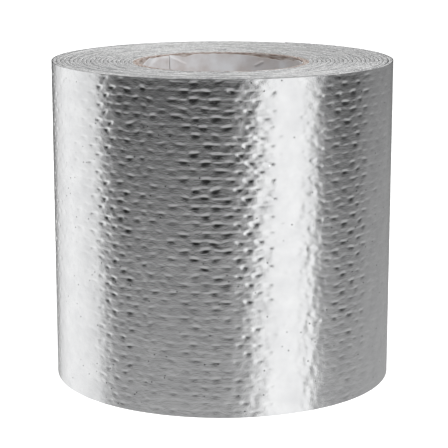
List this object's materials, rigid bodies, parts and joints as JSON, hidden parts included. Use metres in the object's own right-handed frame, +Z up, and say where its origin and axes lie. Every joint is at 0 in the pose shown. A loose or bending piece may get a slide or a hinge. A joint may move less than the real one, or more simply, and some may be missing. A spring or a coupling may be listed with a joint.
{
  "type": "duct tape roll",
  "caption": "Wide roll of foil-faced, cloth-reinforced repair tape on a paper tube core, with a free end that lifts and a release liner that parts from the adhesive.",
  "frame": {"origin": "on the roll's axis, at the end that it stands on", "axes": "+Z up the roll's axis; the tape's free end is at the back, on the +X +Y side, and points counter-clockwise seen from above"},
  "size_m": [0.1062, 0.1053, 0.1],
  "materials": {
    "foil": "bright foil with a fine woven emboss",
    "film": "thin clear-grey film",
    "scrim": "plain weave of flat ribbons",
    "adhesive": "matt light grey, slightly grainy where it is cut",
    "release_liner": "smooth coated paper",
    "core_liner": "smooth white-grey paper",
    "kraft_board": "brown board with a rough cut edge",
    "start_tape": "pale double-sided strip"
  },
  "bodies": {
    "roll": {"core_liner_ply": "core_liner", "core_board_ply_1": "kraft_board", "core_board_ply_2": "kraft_board", "core_board_ply_3": "kraft_board", "core_board_ply_4": "kraft_board", "core_start_tape": "start_tape", "release_liner": "release_liner", "butyl_adhesive": "adhesive", "woven_scrim": "scrim", "backing_film": "film", "foil_face": "foil"},
    "tape_end": {"free_end_release_liner": "release_liner", "free_end_butyl_adhesive": "adhesive", "free_end_woven_scrim": "scrim", "free_end_backing_film": "film", "free_end_foil_face": "foil"},
    "liner_end": {"release_liner_pull_end": "release_liner"}
  },
  "joints": [
    {"name": "tape_end_lift", "type": "hinge", "parent": "roll", "child": "tape_end", "pos_m": [0.04325, 0.03162, 0.05], "axis": [0, 0, -1], "range_deg": [0, 120]},
    {"name": "liner_end_peel", "type": "hinge", "parent": "tape_end", "child": "liner_end", "pos_m": [0.03626, 0.03771, 0.05], "axis": [0, 0, -1], "range_deg": [-60, 0]}
  ],
  "couplings": [
    {"joint": "liner_end_peel", "follows": "tape_end_lift", "ratio": -0.5}
  ]
}
